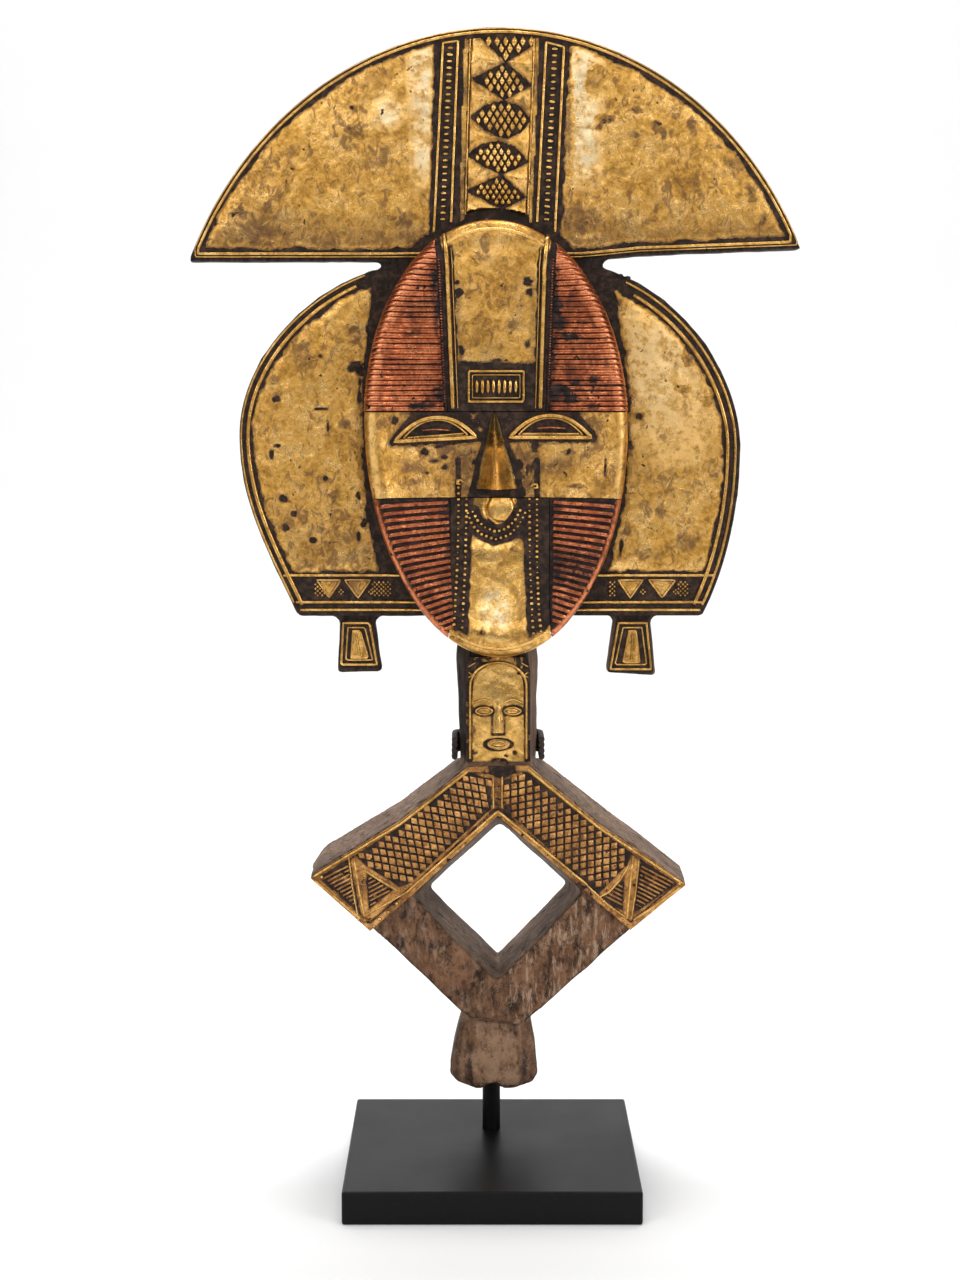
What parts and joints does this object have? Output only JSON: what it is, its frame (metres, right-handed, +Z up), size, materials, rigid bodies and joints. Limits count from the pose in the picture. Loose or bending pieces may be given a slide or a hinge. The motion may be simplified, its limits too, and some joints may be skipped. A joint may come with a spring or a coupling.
{
  "type": "kota reliquary figure",
  "caption": "Carved wooden guardian figure with a half-round crest, side wings, a dished oval face clad in brass and copper, and an open lozenge body, held by a rod on a square base.",
  "frame": {"origin": "middle of the base plate's underside, on the surface it stands on", "axes": "+Z up along the figure, +X to the viewer's right, -Y towards the viewer, out of the figure's face"},
  "size_m": [0.3141, 0.15, 0.5954],
  "materials": {
    "old_wood": "old dark wood, worn and crusty",
    "brass_sheet": "hammered brass with dark patina",
    "copper_sheet": "copper, darkened in its grooves",
    "dark_fibre": "dark wound fibre",
    "black_finish": "satin black"
  },
  "bodies": {
    "root": {"stand_base": "black_finish", "stand_rod": "black_finish", "wooden_figure": "old_wood", "crest_sheet": "brass_sheet", "left_wing_sheet": "brass_sheet", "right_wing_sheet": "brass_sheet", "left_pendant_sheet": "brass_sheet", "right_pendant_sheet": "brass_sheet", "copper_strips_upper_left": "copper_sheet", "copper_strips_upper_right": "copper_sheet", "copper_sheet_lower_left": "copper_sheet", "copper_sheet_lower_right": "copper_sheet", "eye_band": "brass_sheet", "nose": "brass_sheet", "forehead_plate": "brass_sheet", "chin_plate": "brass_sheet", "neck_plate": "brass_sheet", "neck_binding": "dark_fibre", "shoulder_sheet": "brass_sheet"}
  },
  "joints": []
}
